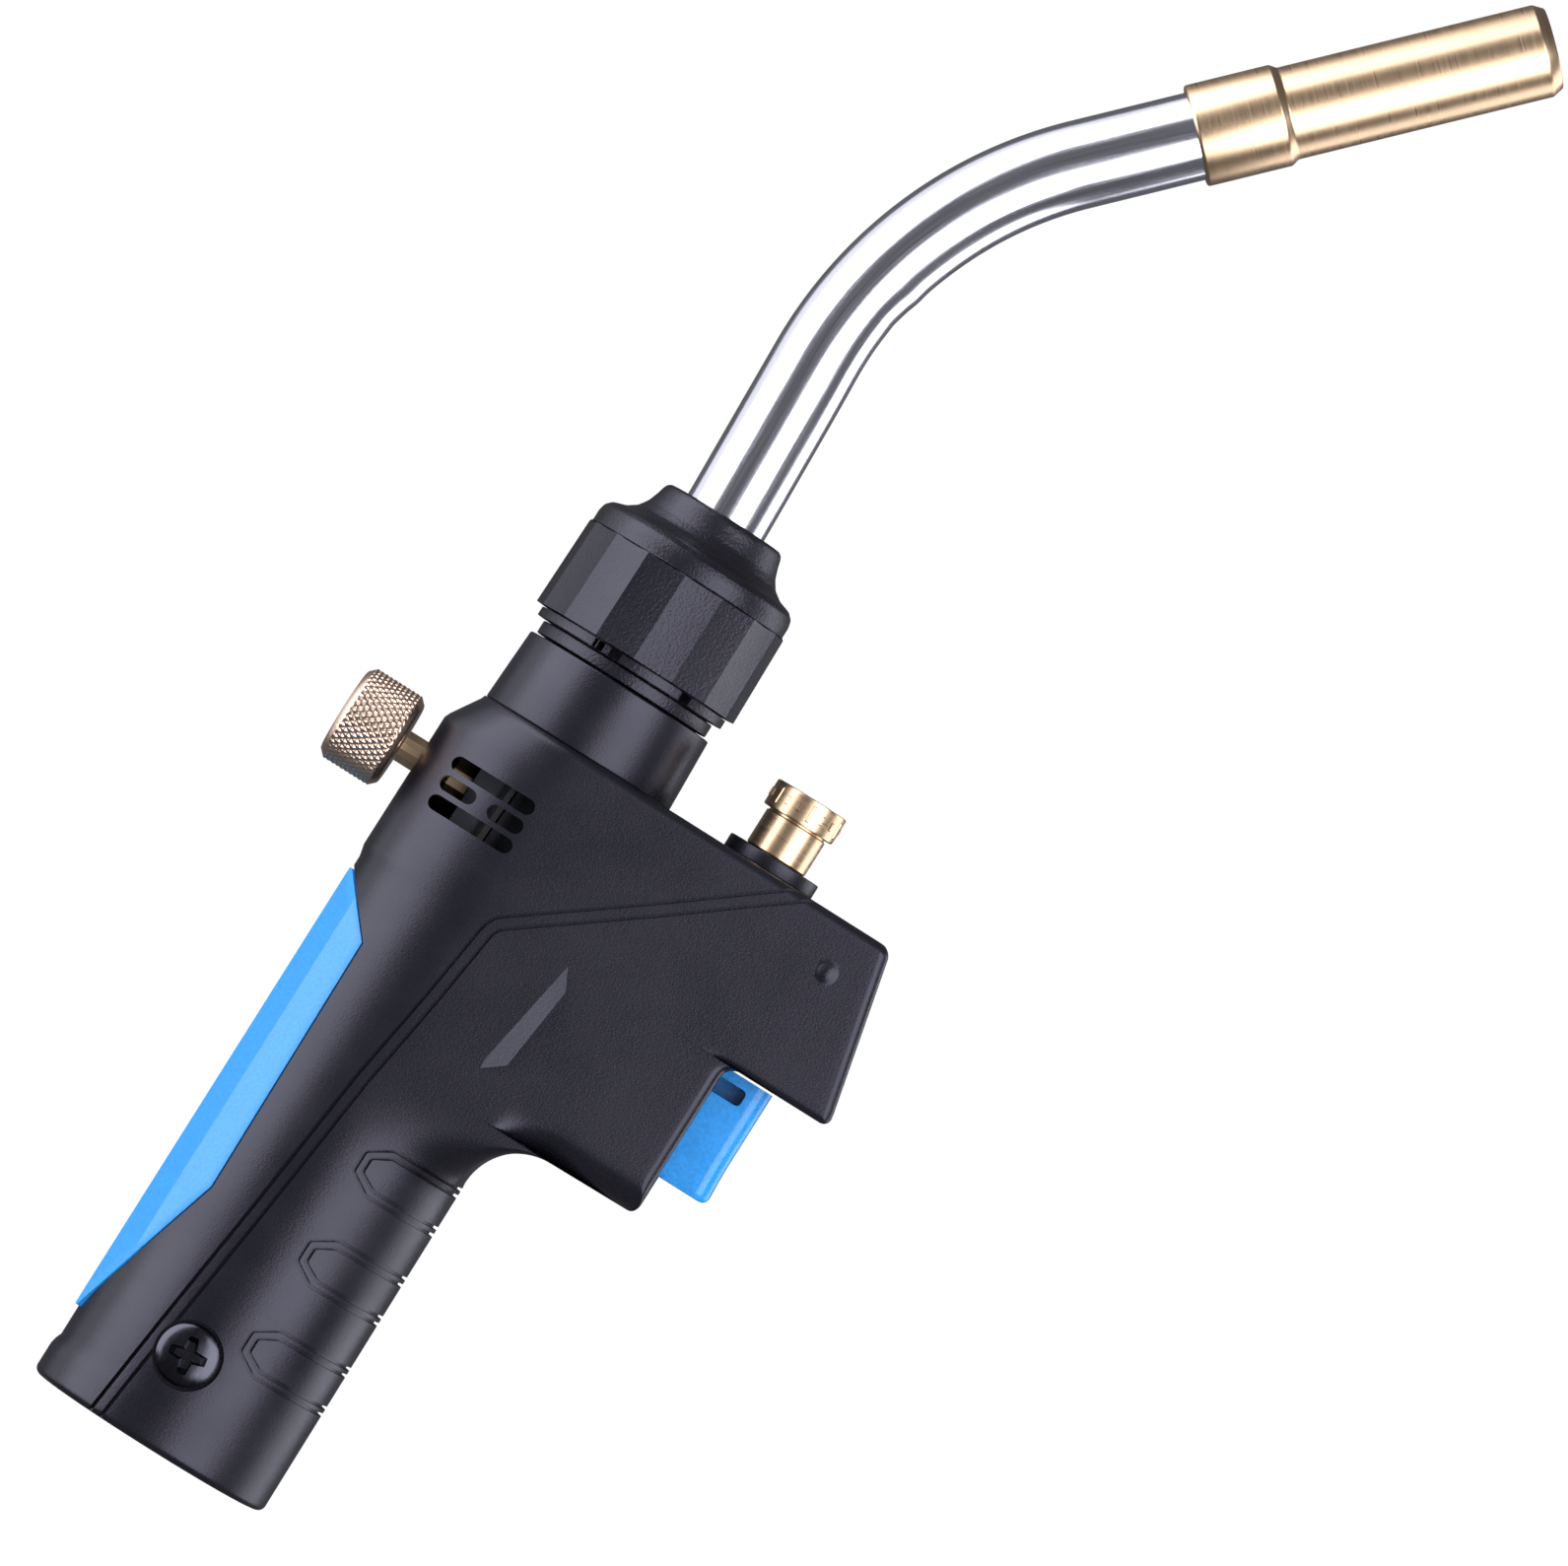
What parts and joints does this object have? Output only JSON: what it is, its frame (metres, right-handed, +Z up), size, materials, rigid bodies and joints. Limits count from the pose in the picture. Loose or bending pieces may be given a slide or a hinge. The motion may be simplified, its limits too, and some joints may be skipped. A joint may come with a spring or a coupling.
{
  "type": "propane torch head",
  "caption": "Hand torch head for a screw-on gas cylinder: moulded two-part pistol grip with trigger igniter, lock knob, flame knob, and a brass burner on a bent swivelling tube.",
  "frame": {"origin": "on the axis of the cylinder socket, in the plane of the socket's rim, where the gas cylinder's shoulder comes", "axes": "+Z up along the socket, grip and neck axis; +X forward, towards the trigger and the way the burner points; +Y to the user's left"},
  "size_m": [0.1078, 0.036, 0.301],
  "materials": {
    "moulded_black": "satin moulded texture, black with a violet cast",
    "nut_black": "coarse moulded texture, black",
    "panel_blue": "satin sky blue",
    "trigger_blue": "satin blue",
    "brass": "fine turned",
    "rose_brass": "diamond knurled rim",
    "stainless": "drawn, bright",
    "screw_black": "gloss black",
    "steel": "plain",
    "cast_zinc": "die cast, matt",
    "rubber": "matt",
    "ceramic": "unglazed white",
    "wire_black": "silicone sleeve",
    "piezo_black": "plain"
  },
  "bodies": {
    "grip": {"housing_right": "moulded_black", "housing_left": "moulded_black", "back_panel": "panel_blue", "grip_screw": "screw_black", "housing_screw_front": "screw_black", "housing_screw_middle": "screw_black", "inlet_fitting": "cast_zinc", "inlet_seal": "rubber", "inlet_pin": "brass", "inlet_filter": "steel", "regulator_body": "cast_zinc", "regulator_diaphragm": "rubber", "regulator_spring": "steel", "regulator_cap": "cast_zinc", "gas_pipe": "brass", "valve_block": "cast_zinc", "jet": "brass", "valve_gland": "brass", "valve_spring": "steel", "packing_nut": "brass", "lever_pin": "steel", "piezo_body": "piezo_black", "trigger_spring": "steel", "lock_collar": "moulded_black", "neck_sleeve": "moulded_black", "threaded_spigot": "nut_black", "notched_ring": "nut_black", "ignition_wire_lower": "wire_black"},
    "trigger_button": {"trigger": "trigger_blue"},
    "igniter_plunger": {"piezo_plunger": "steel"},
    "lever": {"trigger_lever": "steel"},
    "stem": {"valve_stem": "brass"},
    "lock": {"lock_knob": "brass", "lock_retaining_ring": "steel"},
    "flame_control": {"flame_knob": "rose_brass", "flame_needle": "rose_brass"},
    "nut": {"coupling_nut": "nut_black"},
    "burner": {"burner_tube": "stainless", "burner_tip": "brass", "tube_flange": "brass", "tube_seal": "rubber", "flame_holder": "brass", "spark_electrode": "steel", "ceramic_insulator": "ceramic", "ignition_wire_upper": "wire_black"}
  },
  "joints": [
    {"name": "trigger_slide", "type": "slide", "parent": "grip", "child": "trigger_button", "axis": [-1, 0, 0], "range_m": [0, 0.0065], "stiffness_N_per_m": 400, "springref_m": -0.01, "deforming": ["trigger_spring", "valve_spring"]},
    {"name": "igniter_slide", "type": "slide", "parent": "grip", "child": "igniter_plunger", "axis": [-1, 0, 0], "range_m": [0, 0.0065]},
    {"name": "lever_hinge", "type": "hinge", "parent": "grip", "child": "lever", "pos_m": [0.027, 0, 0.113], "axis": [0, 1, 0], "range_deg": [0, 16.4]},
    {"name": "stem_slide", "type": "slide", "parent": "grip", "child": "stem", "axis": [-1, 0, 0], "range_m": [0, 0.0038]},
    {"name": "lock_turn", "type": "hinge", "parent": "grip", "child": "lock", "pos_m": [0.0344, 0, 0.1246], "axis": [0, 0, 1], "range_deg": [-90, 0]},
    {"name": "flame_turn", "type": "hinge", "parent": "grip", "child": "flame_control", "pos_m": [-0.034, 0, 0.1113], "axis": [1, 0, 0], "range_deg": [-360, 360]},
    {"name": "nut_turn", "type": "hinge", "parent": "grip", "child": "nut", "pos_m": [0, 0, 0.1412], "axis": [0, 0, 1], "range_deg": [0, 360]},
    {"name": "burner_swivel", "type": "hinge", "parent": "grip", "child": "burner", "pos_m": [0, 0, 0.1515], "axis": [0, 0, 1], "range_deg": [-180, 180]}
  ],
  "couplings": [
    {"joint": "igniter_slide", "follows": "trigger_slide", "ratio": 1},
    {"joint": "lever_hinge", "follows": "trigger_slide", "rad_per_m": 43.5},
    {"joint": "stem_slide", "follows": "trigger_slide", "ratio": 0.57}
  ]
}
